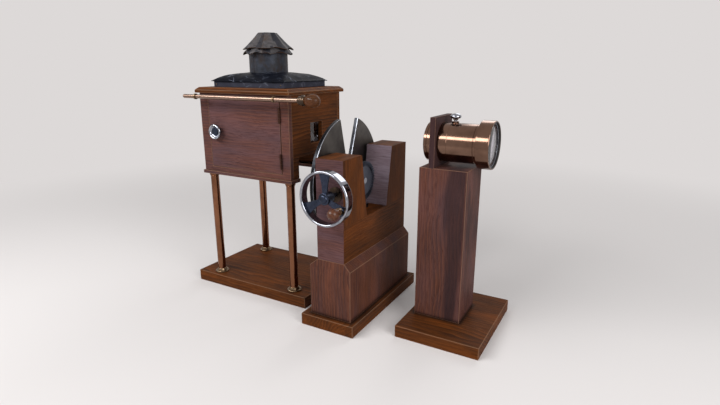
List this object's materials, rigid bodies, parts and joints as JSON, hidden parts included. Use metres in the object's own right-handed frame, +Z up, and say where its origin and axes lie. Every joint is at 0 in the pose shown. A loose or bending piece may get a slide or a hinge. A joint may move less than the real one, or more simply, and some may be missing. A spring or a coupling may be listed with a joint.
{
  "type": "magic lantern",
  "caption": "Optical-bench magic lantern: wooden lamp house on brass posts with iron roof and door, geared shutter disc with hand wheel, and focusing projection lens on a wooden pillar.",
  "frame": {"origin": "on the table, under the optical axis, under the middle of the towers of the disc stand", "axes": "+X along the beam from the lamp house to the lens, +Y away from the door and hand wheel, +Z up"},
  "size_m": [0.6905, 0.3535, 0.571],
  "materials": {
    "walnut": "oiled walnut, satin",
    "brass": "polished brass",
    "bronze": "lacquered red brass",
    "steel": "polished steel",
    "disc_steel": "ground steel",
    "blued_iron": "blued iron",
    "roof_iron": "scratched black japan",
    "chimney_iron": "smoke-stained sheet iron",
    "cowl_iron": "weathered sheet iron",
    "optical_glass": "clear optical glass",
    "mirror": "silvered",
    "cotton": "woven cotton wick",
    "beech": "varnished orange beech"
  },
  "bodies": {
    "lamphouse": {"lamphouse_base": "walnut", "posts": "bronze", "post_flanges": "brass", "flange_screws": "brass", "bottom_frame": "walnut", "front_panel": "walnut", "back_panel": "walnut", "left_panel": "walnut", "right_panel": "walnut", "top_slab": "walnut", "condenser_cell": "brass", "condenser_rear_lens": "optical_glass", "condenser_front_lens": "optical_glass", "lamp_bracket": "blued_iron", "reflector": "mirror", "oil_font": "brass", "burner": "brass", "lamp_glass": "optical_glass", "frame_hinge_leaves": "steel", "hinge_pins": "steel", "rod_eyes": "brass"},
    "wick": {"wick": "cotton"},
    "wick_control": {"wick_knob": "brass"},
    "door": {"door_panel": "walnut", "door_hinge_leaves": "steel"},
    "door_turn": {"door_knob": "steel", "latch_cam": "steel"},
    "roof": {"vent_collar": "roof_iron", "roof_hood": "roof_iron", "chimney": "chimney_iron", "cowl_skirt": "cowl_iron", "cowl_cap": "cowl_iron"},
    "slide_rod": {"pull_rod": "brass", "rod_ferrule": "brass", "rod_handle": "walnut"},
    "disc_stand": {"disc_stand_base": "walnut", "stand_block": "walnut", "saddle_block": "walnut", "bearing_pedestal": "blued_iron", "disc_bush": "brass", "axle_bushes": "brass"},
    "disc": {"shutter_disc": "disc_steel", "disc_hub": "brass", "disc_nut": "steel", "disc_shaft": "steel", "crown_wheel": "disc_steel"},
    "hand_wheel": {"wheel_rim": "steel", "wheel_spokes": "blued_iron", "wheel_axle": "steel", "pinion": "brass"},
    "crank_grip": {"wheel_knob": "beech"},
    "lens_stand": {"lens_base": "walnut", "lens_pillar": "walnut", "lens_plate": "walnut", "lens_jacket": "bronze"},
    "lens_slide": {"draw_tube": "bronze", "lens_hood": "bronze", "front_lens": "optical_glass", "rear_lens": "optical_glass"},
    "lens_clamp": {"clamp_screw": "steel"}
  },
  "joints": [
    {"name": "door_hinge", "type": "hinge", "parent": "lamphouse", "child": "door", "pos_m": [-0.148, -0.0975, 0.3555], "axis": [0, 0, 1], "range_deg": [0, 110]},
    {"name": "door_knob_turn", "type": "hinge", "parent": "door", "child": "door_turn", "pos_m": [-0.3185, -0.1, 0.365], "axis": [0, 1, 0], "range_deg": [-90, 90]},
    {"name": "roof_lift", "type": "slide", "parent": "lamphouse", "child": "roof", "axis": [0, 0, 1], "range_m": [0, 0.15]},
    {"name": "rod_slide", "type": "slide", "parent": "lamphouse", "child": "slide_rod", "axis": [1, 0, 0], "range_m": [-0.05, 0.03]},
    {"name": "wick_knob_turn", "type": "hinge", "parent": "lamphouse", "child": "wick_control", "pos_m": [-0.2465, -0.02, 0.328], "axis": [0, 1, 0], "range_deg": [0, 270]},
    {"name": "wick_raise", "type": "slide", "parent": "lamphouse", "child": "wick", "axis": [0, 0, 1], "range_m": [0, 0.0061]},
    {"name": "disc_stand_slide", "type": "slide", "parent": "lamphouse", "child": "disc_stand", "axis": [1, 0, 0], "range_m": [-0.025, 0.06]},
    {"name": "disc_spin", "type": "hinge", "parent": "disc_stand", "child": "disc", "pos_m": [-0.0375, -0.022, 0.277], "axis": [1, 0, 0], "continuous": true},
    {"name": "wheel_spin", "type": "hinge", "parent": "disc_stand", "child": "hand_wheel", "pos_m": [0.014, -0.18, 0.277], "axis": [0, 1, 0], "continuous": true},
    {"name": "crank_grip_spin", "type": "hinge", "parent": "hand_wheel", "child": "crank_grip", "pos_m": [0.04667, -0.2, 0.25963], "axis": [0, 1, 0], "continuous": true},
    {"name": "lens_stand_slide", "type": "slide", "parent": "lamphouse", "child": "lens_stand", "axis": [1, 0, 0], "range_m": [0, 0.3]},
    {"name": "focus_slide", "type": "slide", "parent": "lens_stand", "child": "lens_slide", "axis": [1, 0, 0], "range_m": [0, 0.04]},
    {"name": "clamp_turn", "type": "hinge", "parent": "lens_stand", "child": "lens_clamp", "pos_m": [0.183, 0, 0.41], "axis": [0, 0, 1], "range_deg": [0, 360]}
  ],
  "couplings": [
    {"joint": "wheel_spin", "follows": "disc_spin", "ratio": -5},
    {"joint": "wick_raise", "follows": "wick_knob_turn", "m_per_rad": 0.0012732}
  ]
}
